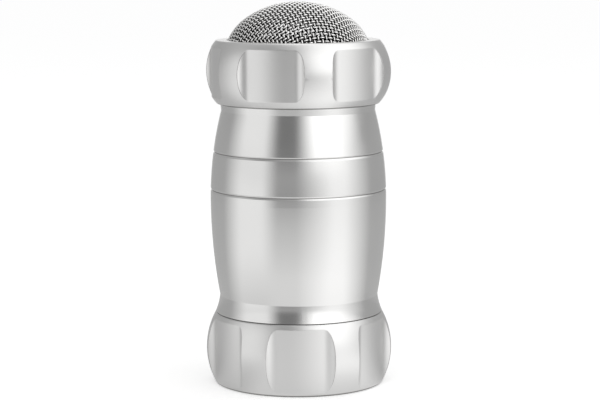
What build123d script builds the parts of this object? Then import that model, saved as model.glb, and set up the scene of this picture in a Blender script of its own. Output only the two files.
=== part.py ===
from build123d import *
import os
from math import acos, cos, pi, radians, sin, sqrt

os.makedirs("parts", exist_ok=True)

# Grip rings
grip_radius = 35.0
ring_chamfer = 0.4
base_ring_height = 26.8
base_ring_lower_wall = 2.5  # beyond the bore
base_ring_upper_wall = 2.2
top_ring_height = 23.5
top_ring_lower_wall = 1.45
top_ring_upper_wall = 1.5
ring_bore_clearance = 0.25  # all round, between a ring and the barrel's spigot
seam_gap = 0.15  # hairline between the base ring and the barrel's foot

# Grip pockets
pocket_count = 6
pocket_depth = 2.7
pocket_floor_angle = 30.4
pocket_cutter_radius = 4.2
base_pocket_turn = 31.0
top_pocket_turn = 12.4

# Barrel outside, heights taken from its foot
neck_inset = 5.85  # from the grip's crest
neck_flare = 0.25
foot_step = 2.25  # beyond the neck
foot_bow = 0.25
waist_step = 0.63
waist_rise = 6.4
belly_step = 3.95
belly_rise = 43.0
shoulder_rise = 75.95
collar_show = 2.7  # neck left in sight below the top ring

# Two grooves that frame the band
band_rise = 46.35
band_height = 14.2
groove_height = 1.3
groove_depth = 0.45

# Barrel inside and screw ends
mouth_wall = 3.2
belly_wall = 2.85
chamber_length = 24.0  # straight part of the widened chamber
thread_depth = 0.8
thread_length = 12.5
thread_lead_in = 0.6

# Sieve
dome_rise = 14.3  # above the top ring
crown_flattening = 3.4  # by which the crown's radius is more than that of a plain ball cap
crown_angle = 35.0  # from the axis to where the crown turns into the shoulder
cloth_thickness = 1.15
brim_width = 1.05
brim_play = 0.1
rim_sheet = 0.35
rim_play = 0.05
rim_shelf = 0.6  # from the dome's foot inwards
rim_turn_in_gap = 0.25  # from the dome's foot outwards
cell_pitch = 4.8  # coarser than the real cloth
cell_opening = 0.6  # share of a cell that is open, each way
cloth_turn = 21.0
lip_thickness = 1.5
lip_clearance = 0.3

# Seals and bottom plate
seal_thickness = 2.0
seal_width = 3.1
seal_groove_play = 0.1
seal_ledge_height = 1.1
base_lip_thickness = 2.2
base_lip_width = 3.5
plate_thickness = 2.0
plate_step_height = 1.2
seat_clearance = 0.1

# Heights up the axis
foot_z = base_ring_height + seam_gap
waist_z = foot_z + waist_rise
belly_z = foot_z + belly_rise
shoulder_z = foot_z + shoulder_rise
top_ring_z = shoulder_z + collar_show
lip_top_z = top_ring_z + top_ring_height
lip_z = lip_top_z - lip_thickness
brim_top_z = lip_z - rim_sheet - rim_play
brim_z = brim_top_z - cloth_thickness
rim_z = brim_z - rim_play - rim_sheet
mouth_z = rim_z - seal_thickness
apex_z = lip_top_z + dome_rise
plate_z = base_lip_thickness
base_seal_z = plate_z + plate_thickness
tail_z = base_seal_z + seal_thickness

# Radii that follow from the grip and the fits
neck_radius = grip_radius - neck_inset
foot_radius = neck_radius + foot_step
waist_radius = neck_radius + waist_step
shoulder_end_radius = neck_radius - neck_flare
belly_radius = neck_radius + belly_step
mouth_radius = neck_radius - mouth_wall
chamber_radius = belly_radius - belly_wall
core_radius = neck_radius - thread_depth
ring_bore = neck_radius + ring_bore_clearance
seat_radius = core_radius + ring_bore_clearance
rim_radius = seat_radius - seat_clearance
seal_radius = ring_bore - seal_groove_play
brim_radius = rim_radius - rim_sheet - brim_play
foot_of_dome = brim_radius - brim_width
rim_inner_radius = foot_of_dome - rim_shelf
rim_turn_in_radius = foot_of_dome + rim_turn_in_gap
seal_inner_radius = seal_radius - seal_width
base_lip_radius = seat_radius - base_lip_width
pocket_floor_radius = grip_radius - pocket_depth
base_ring_lower_radius = ring_bore + base_ring_lower_wall
base_ring_upper_radius = ring_bore + base_ring_upper_wall
top_ring_lower_radius = ring_bore + top_ring_lower_wall
top_ring_upper_radius = ring_bore + top_ring_upper_wall

# Dome section: a crown arc that turns into a tighter shoulder arc
brim_to_apex = apex_z - brim_top_z
crown_radius = (foot_of_dome**2 + brim_to_apex**2) / (2 * brim_to_apex) + crown_flattening
crown_z = apex_z - crown_radius
crown_sin = sin(radians(crown_angle))
crown_cos = cos(radians(crown_angle))
centre_step = brim_to_apex * crown_flattening / (
    crown_radius * (1 - crown_cos) + brim_to_apex * crown_cos - foot_of_dome * crown_sin
)
shoulder_radius = crown_radius - centre_step
shoulder_offset = centre_step * crown_sin
shoulder_centre_z = crown_z + centre_step * crown_cos


def shoulder_reach(z, inset):
    return shoulder_offset + sqrt((shoulder_radius - inset) ** 2 - (z - shoulder_centre_z) ** 2)


def belly_radius_at(z):
    if z > belly_z:
        reach = shoulder_z - belly_z
        drop = belly_radius - shoulder_end_radius
    else:
        reach = belly_z - waist_z
        drop = belly_radius - waist_radius
    arc_radius = (reach**2 + drop**2) / (2 * drop)
    return belly_radius - arc_radius + sqrt(arc_radius**2 - (z - belly_z) ** 2)


# Barrel
with BuildPart() as barrel:
    with BuildSketch(Plane.XZ):
        with BuildLine():
            Polyline(
                (mouth_radius, tail_z),
                (core_radius - thread_lead_in, tail_z),
                (core_radius, tail_z + thread_lead_in),
                (core_radius, tail_z + thread_length),
                (neck_radius, tail_z + thread_length + thread_depth),
                (neck_radius, foot_z),
                (foot_radius, foot_z),
            )
            SagittaArc((foot_radius, foot_z), (waist_radius, waist_z), foot_bow)
            TangentArc((belly_radius, belly_z), (waist_radius, waist_z), tangent=(0, -1))
            TangentArc((belly_radius, belly_z), (shoulder_end_radius, shoulder_z), tangent=(0, 1))
            Polyline(
                (shoulder_end_radius, shoulder_z),
                (neck_radius, top_ring_z),
                (neck_radius, mouth_z - thread_length - thread_depth),
                (core_radius, mouth_z - thread_length),
                (core_radius, mouth_z - thread_lead_in),
                (core_radius - thread_lead_in, mouth_z),
                (mouth_radius, mouth_z),
                (mouth_radius, shoulder_z),
                (chamber_radius, belly_z + chamber_length / 2),
                (chamber_radius, belly_z - chamber_length / 2),
                (mouth_radius, waist_z),
                (mouth_radius, tail_z),
            )
        make_face()
    revolve(axis=Axis.Z)
    with BuildSketch(Plane.XZ):
        for groove_z in (foot_z + band_rise, foot_z + band_rise + band_height):
            groove_radius = belly_radius_at(groove_z)
            Polygon(
                (groove_radius - groove_depth, groove_z),
                (groove_radius + groove_depth, groove_z - groove_height),
                (groove_radius + groove_depth, groove_z + groove_height),
                align=None,
            )
    revolve(axis=Axis.Z, mode=Mode.SUBTRACT)
barrel.part.label = "barrel"
export_step(barrel.part, "parts/barrel.step")

# Path of the cutter's centre along one grip pocket
pocket_path = CenterArc(
    (0, 0),
    pocket_floor_radius + pocket_cutter_radius,
    -pocket_floor_angle / 2,
    arc_size=pocket_floor_angle,
)

# Top ring, revolved from a section through a land so that its seam is clear of the pockets
land_turn = radians(top_pocket_turn + 180 / pocket_count)
land_plane = Plane(
    (0, 0, 0),
    x_dir=(cos(land_turn), sin(land_turn), 0),
    z_dir=(sin(land_turn), -cos(land_turn), 0),
)
with BuildPart() as top_ring:
    with BuildSketch(land_plane):
        with BuildLine():
            Polyline(
                (ring_bore, top_ring_z),
                (top_ring_lower_radius - ring_chamfer, top_ring_z),
                (top_ring_lower_radius, top_ring_z + ring_chamfer),
            )
            ThreePointArc(
                (top_ring_lower_radius, top_ring_z + ring_chamfer),
                (grip_radius, top_ring_z + top_ring_height / 2),
                (top_ring_upper_radius, lip_top_z - ring_chamfer),
            )
            Polyline(
                (top_ring_upper_radius, lip_top_z - ring_chamfer),
                (top_ring_upper_radius - ring_chamfer, lip_top_z),
                (shoulder_reach(lip_top_z, 0) + lip_clearance, lip_top_z),
                (shoulder_reach(lip_z, 0) + lip_clearance, lip_z),
                (seat_radius, lip_z),
                (seat_radius, rim_z),
                (ring_bore, rim_z),
                (ring_bore, mouth_z - seal_groove_play),
                (seat_radius, mouth_z - seal_groove_play),
                (seat_radius, mouth_z - seal_groove_play - seal_ledge_height),
                (ring_bore, mouth_z - seal_groove_play - seal_ledge_height - thread_depth),
                (ring_bore, top_ring_z),
            )
        make_face()
    revolve(axis=Axis.Z)
    with BuildSketch(Plane.XY.offset(top_ring_z)):
        with PolarLocations(0, pocket_count, start_angle=top_pocket_turn):
            SlotArc(pocket_path, 2 * pocket_cutter_radius)
    extrude(amount=top_ring_height, mode=Mode.SUBTRACT)
top_ring.part.label = "top_ring"
export_step(top_ring.part, "parts/top_ring.step")

# Base ring
with BuildPart() as base_ring:
    with BuildSketch(Plane.XZ):
        with BuildLine():
            Polyline(
                (base_lip_radius, 0),
                (base_ring_lower_radius - ring_chamfer, 0),
                (base_ring_lower_radius, ring_chamfer),
            )
            ThreePointArc(
                (base_ring_lower_radius, ring_chamfer),
                (grip_radius, base_ring_height / 2),
                (base_ring_upper_radius, base_ring_height - ring_chamfer),
            )
            Polyline(
                (base_ring_upper_radius, base_ring_height - ring_chamfer),
                (base_ring_upper_radius - ring_chamfer, base_ring_height),
                (ring_bore, base_ring_height),
                (ring_bore, tail_z + seal_groove_play + seal_ledge_height + thread_depth),
                (seat_radius, tail_z + seal_groove_play + seal_ledge_height),
                (seat_radius, tail_z + seal_groove_play),
                (ring_bore, tail_z + seal_groove_play),
                (ring_bore, base_seal_z),
                (seat_radius, base_seal_z),
                (seat_radius, plate_z),
                (base_lip_radius, plate_z),
                (base_lip_radius, 0),
            )
        make_face()
    revolve(axis=Axis.Z)
    with BuildSketch():
        with PolarLocations(0, pocket_count, start_angle=base_pocket_turn):
            SlotArc(pocket_path, 2 * pocket_cutter_radius)
    extrude(amount=base_ring_height, mode=Mode.SUBTRACT)
base_ring.part.label = "base_ring"
export_step(base_ring.part, "parts/base_ring.step")


def net_quarter(step, count):
    net = {}
    for i in range(count + 1):
        net[i, 0] = Vector(sin(i * step), 0, cos(i * step))
        net[0, i] = Vector(0, sin(i * step), cos(i * step))
    for i in range(1, count + 1):
        for j in range(1, count + 1):
            middle = (net[i - 1, j] + net[i, j - 1]).normalized()
            corner = net[i - 1, j - 1]
            net[i, j] = middle * (2 * middle.dot(corner)) - corner
    return net


def dome_point(direction):
    reach = foot_of_dome * acos(direction.Z)
    past_crown = reach - crown_radius * radians(crown_angle)
    if past_crown < 0:
        tilt = reach / crown_radius
        radius = crown_radius * sin(tilt)
        z = crown_z + crown_radius * cos(tilt)
    else:
        tilt = radians(crown_angle) + past_crown / shoulder_radius
        radius = shoulder_offset + shoulder_radius * sin(tilt)
        z = shoulder_centre_z + shoulder_radius * cos(tilt)
    outward = Vector(direction.X, direction.Y, 0)
    return outward * (radius / max(outward.length, 1e-9)) + Vector(0, 0, z)


def cloth_cells():
    count = int(foot_of_dome * pi / 2 / cell_pitch)
    net = net_quarter(cell_pitch / foot_of_dome, count)
    cells = []
    for i in range(count):
        for j in range(count):
            cell = [dome_point(net[i + a, j + b]) for a, b in ((0, 0), (1, 0), (1, 1), (0, 1))]
            if min(corner.Z for corner in cell) > lip_z:
                for turn in (0, 90, 180, 270):
                    cells.append([corner.rotate(Axis.Z, cloth_turn + turn) for corner in cell])
    return cells


def dome_arcs(inset, foot_z):
    crown = crown_radius - inset
    apex = (0, crown_z + crown)
    join = (crown * crown_sin, crown_z + crown * crown_cos)
    foot = (shoulder_reach(foot_z, inset), foot_z)
    TangentArc(apex, join, tangent=(1, 0))
    TangentArc(join, foot, tangent=(crown_cos, -crown_sin))
    return apex, foot


# Sieve dome
with BuildPart() as sieve_dome:
    with BuildSketch(Plane.XZ):
        with BuildLine():
            outer_apex, outer_foot = dome_arcs(0, brim_top_z)
            inner_apex, inner_foot = dome_arcs(cloth_thickness, brim_z)
            Line(inner_apex, outer_apex)
            Polyline(
                outer_foot,
                (brim_radius, brim_top_z),
                (brim_radius, brim_z),
                inner_foot,
            )
        make_face()
    revolve(axis=Axis.Z)
    for cell in cloth_cells():
        centre = (cell[0] + cell[1] + cell[2] + cell[3]) / 4
        outward = (cell[2] - cell[0]).cross(cell[3] - cell[1])
        cell_plane = Plane(centre, x_dir=cell[1] - cell[0], z_dir=outward).offset(-2 * cloth_thickness)
        opening = [cell_plane.to_local_coords(corner) * cell_opening for corner in cell]
        with BuildSketch(cell_plane):
            Polygon(*[(corner.X, corner.Y) for corner in opening], align=None)
    extrude(amount=4 * cloth_thickness, clean=False, mode=Mode.SUBTRACT)
sieve_dome.part.label = "sieve_dome"
export_step(sieve_dome.part, "parts/sieve_dome.step")

# Sieve rim
with BuildPart() as sieve_rim:
    with BuildSketch(Plane.XZ):
        with BuildLine():
            Polyline(
                (rim_inner_radius, rim_z),
                (rim_radius, rim_z),
                (rim_radius, lip_z),
                (rim_turn_in_radius, lip_z),
                (rim_turn_in_radius, lip_z - rim_sheet),
                (rim_radius - rim_sheet, lip_z - rim_sheet),
                (rim_radius - rim_sheet, rim_z + rim_sheet),
                (rim_inner_radius, rim_z + rim_sheet),
                close=True,
            )
        make_face()
    revolve(axis=Axis.Z)
sieve_rim.part.label = "sieve_rim"
export_step(sieve_rim.part, "parts/sieve_rim.step")

# Sieve seal
with BuildPart() as sieve_seal:
    with BuildSketch(Plane.XY.offset(mouth_z)):
        Circle(seal_radius)
        Circle(seal_inner_radius, mode=Mode.SUBTRACT)
    extrude(amount=seal_thickness)
sieve_seal.part.label = "sieve_seal"
export_step(sieve_seal.part, "parts/sieve_seal.step")

# Base plate
with BuildPart() as base_plate:
    with BuildSketch(Plane.XY.offset(plate_z)):
        Circle(rim_radius)
    extrude(amount=plate_thickness)
    with BuildSketch(Plane.XY.offset(plate_z)):
        Circle(base_lip_radius - ring_bore_clearance)
    extrude(amount=-plate_step_height)
base_plate.part.label = "base_plate"
export_step(base_plate.part, "parts/base_plate.step")

# Base seal
with BuildPart() as base_seal:
    with BuildSketch(Plane.XY.offset(base_seal_z)):
        Circle(seal_radius)
        Circle(seal_inner_radius, mode=Mode.SUBTRACT)
    extrude(amount=seal_thickness)
base_seal.part.label = "base_seal"
export_step(base_seal.part, "parts/base_seal.step")
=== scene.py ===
import math

import bmesh
import bpy
from mathutils import Matrix, Vector


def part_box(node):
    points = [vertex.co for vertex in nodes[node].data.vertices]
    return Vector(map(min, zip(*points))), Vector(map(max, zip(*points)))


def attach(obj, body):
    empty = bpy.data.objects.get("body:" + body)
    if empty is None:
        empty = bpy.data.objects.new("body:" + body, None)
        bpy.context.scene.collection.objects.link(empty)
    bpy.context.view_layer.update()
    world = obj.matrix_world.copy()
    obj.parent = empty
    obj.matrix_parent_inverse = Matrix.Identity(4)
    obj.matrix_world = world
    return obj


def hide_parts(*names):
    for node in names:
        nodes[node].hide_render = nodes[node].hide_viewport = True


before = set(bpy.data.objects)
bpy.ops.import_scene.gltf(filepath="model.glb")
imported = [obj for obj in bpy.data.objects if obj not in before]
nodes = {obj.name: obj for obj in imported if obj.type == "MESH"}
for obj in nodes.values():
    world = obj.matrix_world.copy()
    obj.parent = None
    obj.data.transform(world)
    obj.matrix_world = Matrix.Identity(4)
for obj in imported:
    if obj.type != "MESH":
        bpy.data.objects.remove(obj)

scene = bpy.context.scene
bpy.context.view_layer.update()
mm = 0.001
baseFoot, baseTop = (corner[2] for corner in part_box("base_ring"))
topFoot, topTop = (corner[2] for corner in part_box("top_ring"))
domeLow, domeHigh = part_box("sieve_dome")
print("frame loaded:", len(nodes), "solids")


# shader sockets with plain maths on them
class Shade:
    def __init__(self, tree, socket=None):
        self.tree = tree
        self.socket = socket

    def node(self, kind, settings, inputs, out=0):
        made = self.tree.nodes.new(kind)
        for name, value in settings.items():
            if name == "stops":
                setStops(made.color_ramp.elements, value)
            else:
                setattr(made, name, value)
        connect(made, inputs)
        return Shade(self.tree, made.outputs[out])

    def maths(self, operation, first, second=0.0):
        return self.node("ShaderNodeMath", {"operation": operation}, {0: first, 1: second})

    def __add__(self, other):
        return self.maths("ADD", self, other)

    def __radd__(self, other):
        return self.maths("ADD", other, self)

    def __sub__(self, other):
        return self.maths("SUBTRACT", self, other)

    def __rsub__(self, other):
        return self.maths("SUBTRACT", other, self)

    def __mul__(self, other):
        return self.maths("MULTIPLY", self, other)

    def __rmul__(self, other):
        return self.maths("MULTIPLY", other, self)


def setStops(stops, greys):
    while len(stops) < len(greys):
        stops.new(1.0)
    for stop, (place, grey) in zip(stops, greys):
        stop.position = place
        stop.color = (grey, grey, grey, 1.0)


# values and links for the sockets of a node
def connect(node, values):
    for name, value in values.items():
        if isinstance(value, Shade):
            value.tree.links.new(value.socket, node.inputs[name])
        else:
            node.inputs[name].default_value = value


def newMaterial(name):
    made = bpy.data.materials.new(name)
    made.use_nodes = True
    return made, Shade(made.node_tree), made.node_tree.nodes["Principled BSDF"]


def objectPlace(s):
    return s.node("ShaderNodeTexCoord", {}, {}, "Object")


def along(place, axis):
    return place.node("ShaderNodeSeparateXYZ", {}, {"Vector": place}, axis)


def alongAxes(place):
    return [along(place, axis) for axis in "XYZ"]


def noise(place, scale, detail=3.0):
    return place.node("ShaderNodeTexNoise", {}, {"Vector": place, "Scale": scale, "Detail": detail})


def root(value):
    return value.maths("SQRT", value)


def magnitude(value):
    return value.maths("ABSOLUTE", value)


# 0 where the value is at start, 1 where it is at full
def fade(value, start, full):
    return value.node("ShaderNodeMapRange", {}, {"Value": value, "From Min": start, "From Max": full})


# follows a noise, from half the spread under the middle to half above
def varied(cloud, middle, spread):
    return cloud * spread + (middle - spread / 2)


# mixes two colours, each given as three numbers or as a socket
def tint(amount, low, high):
    ends = {"A": low, "B": high}
    colours = {name: end if isinstance(end, Shade) else (*end, 1.0) for name, end in ends.items()}
    return amount.node("ShaderNodeMix", {"data_type": "RGBA"}, {"Factor": amount, **colours}, "Result")


# satin anodised aluminium: blasted grain, faint lathe lines, broken edges, painted shade at the seams and
# grooves
satin = {
    "dark": (0.76, 0.758, 0.752),
    "pale": (0.825, 0.822, 0.814),
    "patchScale": 38.0,
    "patchDetail": 4.0,
    "patchShare": 0.6,  # of the tint, with the rest from the grain
    "grainScale": 5200.0,
    "grainDetail": 2.0,
    "grainShare": 0.7,  # of the relief, with the rest from the lathe lines
    "latheScale": 2600.0,
    "latheDetail": 3.0,
    "reliefHeight": 0.006 * mm,
    "reliefStrength": 0.25,
    "edgeRadius": 0.45 * mm,
    "edgeSamples": 6,
    "roughness": 0.18,
    "patchRoughness": 0.08,  # spread from patch to patch
    "grainRoughness": 0.05,  # spread from grain to grain
    # colour of the painted shade lines at the seams and in the grooves
    "seamShade": (0.26, 0.257, 0.25),
    "seams": [  # height and reach of each painted shade line
        (baseFoot + 0.1 * mm, 0.6 * mm),
        (baseTop + 0.07 * mm, 0.22 * mm),
        (topFoot - 0.1 * mm, 0.35 * mm),
        (73.3 * mm, 0.16 * mm),  # the two grooves that frame the band
        (87.5 * mm, 0.16 * mm),
    ],
}

# milled pockets of the two grip rings, found by how far they lie below the ring's arc
pockets = {
    "crestRadius": 35.0 * mm,
    "chamfer": 0.4 * mm,
    "topEnds": (30.85 * mm, 30.9 * mm),  # radius beside the lower and the upper chamfer
    "baseEnds": (31.9 * mm, 31.6 * mm),
    "floorDepth": (0.1 * mm, 0.4 * mm),  # where the floor's finish starts and where it is full
    "floorRoughness": 0.04,
    "line": (0.40, 0.397, 0.39),  # painted shade line down both sides of a pocket, in place of the dark reflection in its broken edge
    "lineOuter": (0.02 * mm, 0.06 * mm),
    "lineInner": (0.25 * mm, 0.1 * mm),
    "lineEnds": (0.80, 0.55),  # share of the ring's half height where it stops and where it is full
}


# arc through three points of a ring's section: height and radius of its centre, its radius, half height
def ringArc(foot, top, ends):
    low = Vector((ends[0], foot + pockets["chamfer"]))
    crest = Vector((pockets["crestRadius"], (foot + top) / 2))
    high = Vector((ends[1], top - pockets["chamfer"]))
    chords = Matrix((crest - low, high - crest))
    squares = [point.length_squared for point in (low, crest, high)]
    centre = chords.inverted() @ Vector((squares[1] - squares[0], squares[2] - squares[1])) / 2
    return centre.y, centre.x, (crest - centre).length, high.y - crest.y


def milledPockets(place, arc, colour, rough):
    side, depth, height = alongAxes(place)
    centreZ, centreRadius, arcRadius, halfHeight = arc
    rise = height - centreZ
    ringRadius = root(arcRadius**2 - rise * rise) + centreRadius
    below = ringRadius - root(side * side + depth * depth)
    # painted shade line along both sides of each pocket
    line = fade(below, *pockets["lineOuter"]) * fade(below, *pockets["lineInner"])
    ends = [share * halfHeight for share in pockets["lineEnds"]]
    colour = tint(line * fade(magnitude(rise), *ends), colour, pockets["line"])
    return colour, rough + fade(below, *pockets["floorDepth"]) * pockets["floorRoughness"]


def satinAluminium(name, spec, arc=None):
    made, s, shader = newMaterial(name)
    place = objectPlace(s)
    height = along(place, "Z")
    patch = noise(place, spec["patchScale"], spec["patchDetail"])
    grain = noise(place, spec["grainScale"], spec["grainDetail"])
    turned = {"W": height, "Scale": spec["latheScale"], "Detail": spec["latheDetail"]}
    lathe = s.node("ShaderNodeTexNoise", {"noise_dimensions": "1D"}, turned)
    cloud = patch * spec["patchShare"] + grain * (1 - spec["patchShare"])
    colour = tint(cloud, spec["dark"], spec["pale"])
    # painted shade: darker lines at the seams, the ring foot and the two grooves
    for seamZ, reach in spec["seams"]:
        colour = tint(fade(magnitude(height - seamZ), reach, reach / 2), colour, spec["seamShade"])
    rough = varied(patch, spec["roughness"], spec["patchRoughness"])
    rough = rough + varied(grain, 0.0, spec["grainRoughness"])
    if arc:
        colour, rough = milledPockets(place, arc, colour, rough)
    rounding = {"samples": spec["edgeSamples"]}
    broken = s.node("ShaderNodeBevel", rounding, {"Radius": spec["edgeRadius"]}, "Normal")
    relief = {
        "Strength": spec["reliefStrength"],
        "Distance": spec["reliefHeight"],
        "Height": grain * spec["grainShare"] + lathe * (1 - spec["grainShare"]),
        "Normal": broken,
    }
    connect(shader, {
        "Base Color": colour,
        "Metallic": 1.0,
        "Roughness": rough,
        "Normal": s.node("ShaderNodeBump", {}, relief, "Normal"),
    })
    return made


# woven wire cloth of the dome, inside the outline of its solid
cloth = {
    "pitch": 1.5 * mm,
    "wire": 0.64 * mm,
    "turn": math.radians(21.0),
    "drapeRadius": 27.0 * mm,  # ball on which the net is laid out
    "drapeAngle": 1.45,  # radians from the crown that the net reaches
    "crownRadius": 34.0 * mm,
    "crownAngle": math.radians(35.0),
    "shoulderRadius": 20.0 * mm,
    "apexZ": domeHigh[2],
    "brimZ": domeLow[2] + 0.575 * mm,  # half the solid's thickness up
    "edgeRadius": domeHigh[0] - 0.3 * mm,
    "fewestPoints": 4,  # shorter ends of wire are left out
    "roundness": 1,  # steps across a quarter of the wire
    "smoothness": 3,  # steps along the wire from knot to knot
}

# drawn stainless wire: painted highlight on the crowns of the weave, painted shade in its hollows
wireSteel = {
    "hollowShade": (0.02, 0.0196, 0.019),
    "crown": (0.96, 0.955, 0.945),
    "hollowDepth": 0.68,  # below the dome's outline, in wire diameters
    "crownDepth": 0.42,
    "streakScale": 900.0,
    "streakTint": 0.3,
    "streakRoughness": 0.14,
    "roughness": 0.16,
}


def clothFinish(name, spec, weave):
    made, s, shader = newMaterial(name)
    place = objectPlace(s)
    side, depth, height = alongAxes(place)
    radius = root(side * side + depth * depth)
    slant, lean = math.cos(weave["crownAngle"]), math.sin(weave["crownAngle"])
    step = weave["crownRadius"] - weave["shoulderRadius"]
    up = height - (weave["apexZ"] - weave["crownRadius"])
    shoulderUp = up - step * slant
    shoulderOut = radius - step * lean
    pastCrown = root(radius * radius + up * up) - weave["crownRadius"]
    pastShoulder = root(shoulderOut * shoulderOut + shoulderUp * shoulderUp) - weave["shoulderRadius"]
    onShoulder = s.maths("GREATER_THAN", radius * slant - up * lean)
    past = pastCrown + onShoulder * (pastShoulder - pastCrown)  # outline at 0, inside below it
    # painted highlight towards the crowns and painted shade towards the hollows, by depth below the outline
    paintedShine = fade(past, -spec["hollowDepth"] * weave["wire"], -spec["crownDepth"] * weave["wire"])
    streak = noise(place, spec["streakScale"])
    connect(shader, {
        "Base Color": tint(paintedShine * varied(streak, 1.0, spec["streakTint"]), spec["hollowShade"], spec["crown"]),
        "Metallic": 1.0,
        "Roughness": varied(streak, spec["roughness"], spec["streakRoughness"]),
    })
    return made


# rolled stainless sheet of the rim
rimSheet = {
    "dark": (0.50, 0.49, 0.48),
    "pale": (0.72, 0.71, 0.70),
    "cloudScale": 260.0,
    "cloudRoughness": 0.14,
    "roughness": 0.3,
    "metallic": 1.0,
}

# milky silicone of the two washers
silicone = {
    "dark": (0.74, 0.74, 0.71),
    "pale": (0.86, 0.86, 0.84),
    "cloudScale": 160.0,
    "cloudRoughness": 0.12,
    "roughness": 0.55,
    "metallic": 0.0,
}


def cloudedFinish(name, spec):
    made, s, shader = newMaterial(name)
    cloud = noise(objectPlace(s), spec["cloudScale"])
    connect(shader, {
        "Base Color": tint(cloud, spec["dark"], spec["pale"]),
        "Metallic": spec["metallic"],
        "Roughness": varied(cloud, spec["roughness"], spec["cloudRoughness"]),
    })
    return made


def dress(mesh, finish):
    mesh.materials.clear()
    mesh.materials.append(finish)


ringSatin = dict(satin, roughness=0.34)
topArc = ringArc(topFoot, topTop, pockets["topEnds"])
baseArc = ringArc(baseFoot, baseTop, pockets["baseEnds"])
barrelMetal = satinAluminium("barrelMetal", dict(satin, edgeRadius=0.1 * mm))
clothSteel = clothFinish("clothSteel", wireSteel, cloth)
washer = cloudedFinish("washerSilicone", silicone)
finishes = {
    "barrel": barrelMetal,
    "top_ring": satinAluminium("topRingMetal", ringSatin, topArc),
    "base_ring": satinAluminium("baseRingMetal", ringSatin, baseArc),
    "base_plate": satinAluminium("plateMetal", dict(satin, roughness=0.28)),
    "sieve_dome": clothSteel,
    "sieve_rim": cloudedFinish("rimSteel", rimSheet),
    "sieve_seal": washer,
    "base_seal": washer,
}
for name, finish in finishes.items():
    dress(nodes[name].data, finish)
print("finishes:", len(finishes))


def addObject(name, data):
    made = bpy.data.objects.new(name, data)
    scene.collection.objects.link(made)
    return made


def meshFrom(name, bm):
    mesh = bpy.data.meshes.new(name)
    bm.to_mesh(mesh)
    bm.free()
    return mesh


def finishPiece(name, mesh, finish, body):
    mesh.name = name
    dress(mesh, finish)
    mesh.shade_smooth()
    made = addObject(name, mesh)
    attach(made, body)
    return made


# square net of a cloth laid on a ball of radius 1, one quarter of it: each knot closes a rhombus
def ballNet(step, count):
    net = {}
    for i in range(count + 1):
        net[i, 0] = Vector((math.sin(i * step), 0.0, math.cos(i * step)))
        net[0, i] = Vector((0.0, math.sin(i * step), math.cos(i * step)))
    for i in range(1, count + 1):
        for j in range(1, count + 1):
            middle = (net[i - 1, j] + net[i, j - 1]).normalized()
            corner = net[i - 1, j - 1]
            net[i, j] = middle * (2.0 * middle.dot(corner)) - corner
    return net


# a knot of the net on the dome's own section, raised by lift; none past the cut edge
def clothPoint(spec, direction, lift):
    crown = spec["crownRadius"] - spec["wire"]
    shoulder = spec["shoulderRadius"] - spec["wire"]
    bend = spec["crownAngle"]
    crownZ = spec["apexZ"] - spec["crownRadius"]
    offset = (crown - shoulder) * math.sin(bend)
    shoulderZ = crownZ + (crown - shoulder) * math.cos(bend)
    foot = math.acos((spec["brimZ"] - shoulderZ) / shoulder)
    reach = spec["drapeRadius"] * math.acos(max(-1.0, min(1.0, direction.z)))
    past = reach - crown * bend
    if past < 0:
        tilt = reach / crown
        radius, z = crown * math.sin(tilt), crownZ + crown * math.cos(tilt)
    elif past < shoulder * (foot - bend):
        tilt = bend + past / shoulder
        radius, z = offset + shoulder * math.sin(tilt), shoulderZ + shoulder * math.cos(tilt)
    else:
        tilt = 0.0
        radius, z = offset + shoulder * math.sin(foot) + past - shoulder * (foot - bend), spec["brimZ"]
    if radius > spec["edgeRadius"]:
        return None
    around = math.atan2(direction.y, direction.x) + spec["turn"]
    out = Vector((math.cos(around), math.sin(around), 0.0))
    normal = out * math.sin(tilt) + Vector((0.0, 0.0, math.cos(tilt)))
    return out * radius + Vector((0.0, 0.0, z)) + normal * lift


# control points of one wire, over and under the wires that it crosses
def wireRun(spec, net, count, row, warp):
    points = []
    for k in range(-count, count + 1):
        i, j = (row, k) if warp else (k, row)
        ball = net[abs(i), abs(j)]
        direction = Vector((math.copysign(ball.x, i), math.copysign(ball.y, j), ball.z))
        over = ((i + j) % 2 == 0) == warp
        point = clothPoint(spec, direction, spec["wire"] * (1.0 if over else -1.0))
        if point:
            points.append(point)
    return points


def wireSet(name, spec, warp):
    step = spec["pitch"] / spec["drapeRadius"]
    count = int(spec["drapeAngle"] / step)
    net = ballNet(step, count)
    line = bpy.data.curves.new(name + "Path", "CURVE")
    line.dimensions = "3D"
    line.bevel_depth = spec["wire"] / 2
    line.bevel_resolution = spec["roundness"]
    line.resolution_u = spec["smoothness"]
    line.use_fill_caps = True
    for row in range(-count, count + 1):
        points = wireRun(spec, net, count, row, warp)
        if len(points) < spec["fewestPoints"]:
            continue
        spline = line.splines.new("NURBS")
        spline.points.add(len(points) - 1)
        for target, point in zip(spline.points, points):
            target.co = (*point, 1.0)
        spline.order_u = 3
        spline.use_endpoint_u = True
    path = addObject(name + "Path", line)
    bpy.context.view_layer.update()
    mesh = bpy.data.meshes.new_from_object(path.evaluated_get(bpy.context.evaluated_depsgraph_get()))
    bpy.data.objects.remove(path)
    bpy.data.curves.remove(line)
    return finishPiece(name, mesh, clothSteel, "sieve")


warpWires = wireSet("warpWires", cloth, True)
weftWires = wireSet("weftWires", cloth, False)
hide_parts("sieve_dome")
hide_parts("sieve_dome")
print("wire cloth:", len(warpWires.data.polygons) + len(weftWires.data.polygons), "faces")


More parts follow.
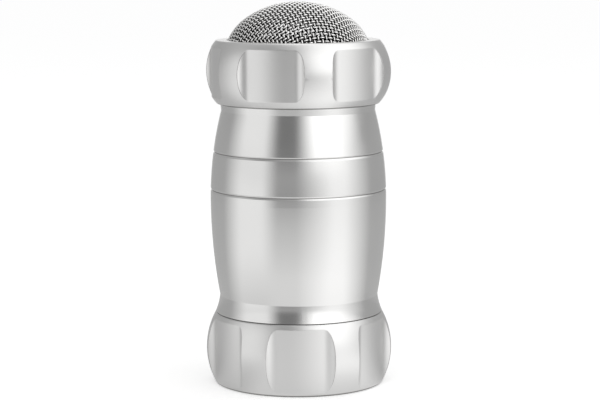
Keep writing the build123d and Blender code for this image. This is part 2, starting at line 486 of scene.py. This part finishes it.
# screw threads, right-handed
thread = {
    "pitch": 3.0 * mm,
    "turns": 3,
    "stepsPerTurn": 72,
    "rootWidth": 1.5 * mm,
    "crestWidth": 0.5 * mm,
    "outer": (28.33 * mm, 29.03 * mm, 0.0),  # radius of root and crest, start angle
    "inner": (29.42 * mm, 28.72 * mm, math.pi),
    "upperZ": 112.8 * mm,
    "lowerZ": 9.0 * mm,
    "weld": 1e-7,
}
threads = [  # piece, body, kind, height of its lower end
    ("barrelUpperThread", "barrel", "outer", "upperZ"),
    ("topRingThread", "top_ring", "inner", "upperZ"),
    ("barrelLowerThread", "barrel", "outer", "lowerZ"),
    ("baseRingThread", "base_ring", "inner", "lowerZ"),
]


def threadRidge(name, spec, kind, z):
    rootRadius, crestRadius, start = spec[kind]
    half, tip = spec["rootWidth"] / 2, spec["crestWidth"] / 2
    bm = bmesh.new()
    section = ((rootRadius, -half), (crestRadius, -tip), (crestRadius, tip), (rootRadius, half))
    bm.faces.new([bm.verts.new((radius, 0.0, rise)) for radius, rise in section])
    bmesh.ops.rotate(bm, verts=bm.verts, cent=(0, 0, 0), matrix=Matrix.Rotation(start, 3, "Z"))
    bmesh.ops.translate(bm, verts=bm.verts, vec=(0, 0, z))
    bmesh.ops.spin(
        bm,
        geom=bm.verts[:] + bm.edges[:] + bm.faces[:],
        cent=(0, 0, 0),
        axis=(0, 0, 1),
        dvec=(0, 0, spec["pitch"] / spec["stepsPerTurn"]),
        angle=spec["turns"] * 2 * math.pi,
        steps=spec["turns"] * spec["stepsPerTurn"],
    )
    bmesh.ops.remove_doubles(bm, verts=bm.verts, dist=spec["weld"])
    bmesh.ops.recalc_face_normals(bm, faces=bm.faces)
    return meshFrom(name, bm)


for name, body, kind, level in threads:
    ridge = threadRidge(name, thread, kind, thread[level])
    finishPiece(name, ridge, barrelMetal, body)
print("threads:", len(threads))


# camera at the photo's viewing angle: metres, degrees, lens and sensor in millimetres
shot = {
    "distance": 0.760,
    "height": 0.1674,
    "down": 7.4,
    "turn": -0.044,
    "roll": -0.23,
    "lens": 121.98,
    "sensor": 36.0,
    "nearest": 0.01,
}
camera = bpy.data.cameras.new("shotCamera")
camera.lens = shot["lens"]
camera.sensor_width = shot["sensor"]
camera.clip_start = shot["nearest"]
shotCamera = addObject("shotCamera", camera)
shotCamera.matrix_world = (
    Matrix.Translation((0.0, -shot["distance"], shot["height"]))
    @ Matrix.Rotation(math.radians(shot["turn"]), 4, "Z")
    @ Matrix.Rotation(math.radians(90.0 - shot["down"]), 4, "X")
    @ Matrix.Rotation(math.radians(shot["roll"]), 4, "Z")
)
scene.camera = shotCamera
print("camera:", shot["lens"], "mm lens")


def stagePiece(name, bm, finish):
    mesh = meshFrom(name, bm)
    dress(mesh, finish)
    made = addObject(name, mesh)
    return made


# 1 for what the camera, metal or glass shows, 0 for the light that falls on things
def rayShown(s):
    kinds = ("Is Camera Ray", "Is Glossy Ray", "Is Transmission Ray")
    seen, mirrored, through = (s.node("ShaderNodeLightPath", {}, {}, kind) for kind in kinds)
    return s.maths("MAXIMUM", s.maths("MAXIMUM", seen, mirrored), through)


# pale floor, lifted to white where it is seen
floorLook = {
    "size": 14.0,
    "drop": 0.05 * mm,
    "colour": (0.86, 0.86, 0.855, 1.0),
    "roughness": 0.9,
    "lift": 0.40,
    "liftColour": (1.0, 1.0, 1.0, 1.0),
}


def makeFloor(spec):
    bm = bmesh.new()
    bmesh.ops.create_grid(bm, x_segments=1, y_segments=1, size=spec["size"] / 2)
    bmesh.ops.translate(bm, verts=bm.verts, vec=(0, 0, -spec["drop"]))
    made, s, shader = newMaterial("tableWhite")
    connect(shader, {"Base Color": spec["colour"], "Roughness": spec["roughness"], "Specular IOR Level": 0.0})
    lift = rayShown(s) * spec["lift"]
    glow = s.node("ShaderNodeEmission", {}, {"Color": spec["liftColour"], "Strength": lift})
    both = s.node("ShaderNodeAddShader", {}, {0: Shade(s.tree, shader.outputs[0]), 1: glow})
    connect(s.tree.nodes["Material Output"], {"Surface": both})
    stagePiece("tableTop", bm, made)


makeFloor(floorLook)

# light tent round the object, shown only in reflections: a pale board on the left, a dark gap in front,
# a soft box on the right, grey walls, a pale strip at the back and a roof, on belts that climb from the floor
tent = {
    "stripTurn": 173,  # degrees from the front, right-hand side positive
    "wallTurn": 158,
    "boardTurns": (-110, -80, -46),
    "gapTurns": (-27, -3),
    "boxFade": 44,
    "peak": 1.6,  # brightest grey that a ramp can hold
    "steps": 96,
    "weld": 1e-6,
}
tentBelts = [  # radius, height, grey of strip, wall, board, gap and box, turns between which the box is full
    # the belts nearest the object are mostly darker: painted shade of the floor round its foot, seen in the
    # metal
    (0.030, 0.0004, 0.60, 0.30, 0.54, 0.72, 0.74, 25, 62),
    (0.060, 0.0004, 0.70, 0.38, 0.66, 0.78, 1.10, 30, 62),
    (0.125, 0.0004, 0.90, 0.50, 0.84, 0.82, 1.20, 38, 59),
    (0.200, 0.0004, 1.00, 0.48, 0.96, 0.68, 1.15, 43, 59),
    (0.430, 0.0004, 1.05, 0.46, 0.95, 0.56, 1.10, 46, 60),
    (0.700, 0.0004, 1.10, 0.42, 0.98, 0.30, 1.05, 46, 62),
    (0.700, 0.130, 1.10, 0.42, 0.86, 0.42, 1.10, 42, 63),
    (0.700, 0.200, 1.10, 0.40, 0.96, 0.20, 1.45, 24, 56),
    (0.700, 0.450, 1.10, 0.40, 0.94, 0.20, 1.45, 22, 80),
    (0.600, 0.750, 0.60, 0.50, 0.36, 0.40, 1.40, 22, 106),
    (0.300, 0.900, 0.90, 0.90, 0.34, 0.38, 1.22, 48, 106),
    (0.100, 0.955, 1.40, 1.40, 1.40, 1.40, 1.40, 60, 100),
    (0.001, 0.960, 1.40, 1.40, 1.40, 1.40, 1.40, 60, 100),
]


def beltRamp(around, spec, belt):
    strip, wall, board, gap, box, boxStart, boxEnd = belt[2:]
    left = [(-180, strip), (-spec["stripTurn"], strip), (-spec["wallTurn"], wall)]
    front = list(zip((*spec["boardTurns"], *spec["gapTurns"]), (wall, board, board, gap, gap)))
    right = [(boxStart, box), (boxEnd, box), (boxEnd + spec["boxFade"], wall)]
    back = [(spec["wallTurn"], wall), (spec["stripTurn"], strip), (180, strip)]
    stops = [(turn / 360.0 + 0.5, grey / spec["peak"]) for turn, grey in left + front + right + back]
    return around.node("ShaderNodeValToRGB", {"stops": stops}, {"Fac": around})


# grey that goes round with the two belts and blends from the lower to the upper
def panelFinish(name, spec, low, high):
    made, s, _ = newMaterial(name)
    side, depth, height = alongAxes(objectPlace(s))
    around = s.maths("ARCTAN2", side, 0.0 - depth) * (0.5 / math.pi) + 0.5
    radius = root(side * side + depth * depth)
    across, up = high[0] - low[0], high[1] - low[1]
    share = ((radius - low[0]) * across + (height - low[1]) * up) * (1.0 / (across**2 + up**2))
    tone = tint(share, beltRamp(around, spec, low), beltRamp(around, spec, high))
    glow = s.node("ShaderNodeEmission", {}, {"Color": tone, "Strength": spec["peak"]})
    connect(s.tree.nodes["Material Output"], {"Surface": glow})
    return made


def makePanel(name, spec, low, high):
    bm = bmesh.new()
    edge = [bm.verts.new((0.0, -belt[0], belt[1])) for belt in (low, high)]
    bmesh.ops.spin(
        bm,
        geom=[*edge, bm.edges.new(edge)],
        cent=(0, 0, 0),
        axis=(0, 0, 1),
        angle=2 * math.pi,
        steps=spec["steps"],
        use_merge=True,
    )
    bmesh.ops.remove_doubles(bm, verts=bm.verts, dist=spec["weld"])
    bmesh.ops.recalc_face_normals(bm, faces=bm.faces)
    panel = stagePiece(name, bm, panelFinish(name, spec, low, high))
    panel.visible_camera = False
    panel.visible_diffuse = False
    panel.visible_shadow = False
    panel.visible_transmission = False


for k, (low, high) in enumerate(zip(tentBelts, tentBelts[1:])):
    makePanel("tentPanel%d" % k, tent, low, high)
print("tent:", len(tentBelts) - 1, "panels")

# soft boxes that light the surfaces but don't mirror in them
softBoxes = {
    "keyRight": {"place": (0.80, -0.80, 0.42), "width": 0.75, "height": 0.8, "watts": 1.2},
    "overhead": {"place": (0.0, 0.1, 1.3), "width": 1.2, "height": 1.2, "watts": 2.0},
}
aim = Vector((0.0, 0.0, 0.075))


def makeSoftBox(name, spec):
    lamp = bpy.data.lights.new(name, "AREA")
    lamp.shape = "RECTANGLE"
    lamp.size = spec["width"]
    lamp.size_y = spec["height"]
    lamp.energy = spec["watts"]
    box = addObject(name, lamp)
    toward = (aim - Vector(spec["place"])).to_track_quat("-Z", "Y")
    box.matrix_world = Matrix.Translation(spec["place"]) @ toward.to_matrix().to_4x4()
    box.visible_glossy = False


for name, spec in softBoxes.items():
    makeSoftBox(name, spec)

# plain light from all round, white where it is seen
air = {"light": (0.68, 0.68, 0.685), "shown": (1.0, 1.0, 1.0), "strength": 1.0}
world = bpy.data.worlds.new("studio")
scene.world = world
world.use_nodes = True
sky = Shade(world.node_tree)
skyTone = tint(rayShown(sky), air["light"], air["shown"])
background = sky.node("ShaderNodeBackground", {}, {"Color": skyTone, "Strength": air["strength"]})
connect(world.node_tree.nodes["World Output"], {"Surface": background})
scene.view_settings.view_transform = "Standard"
print("lights:", len(softBoxes), "soft boxes and the sky")
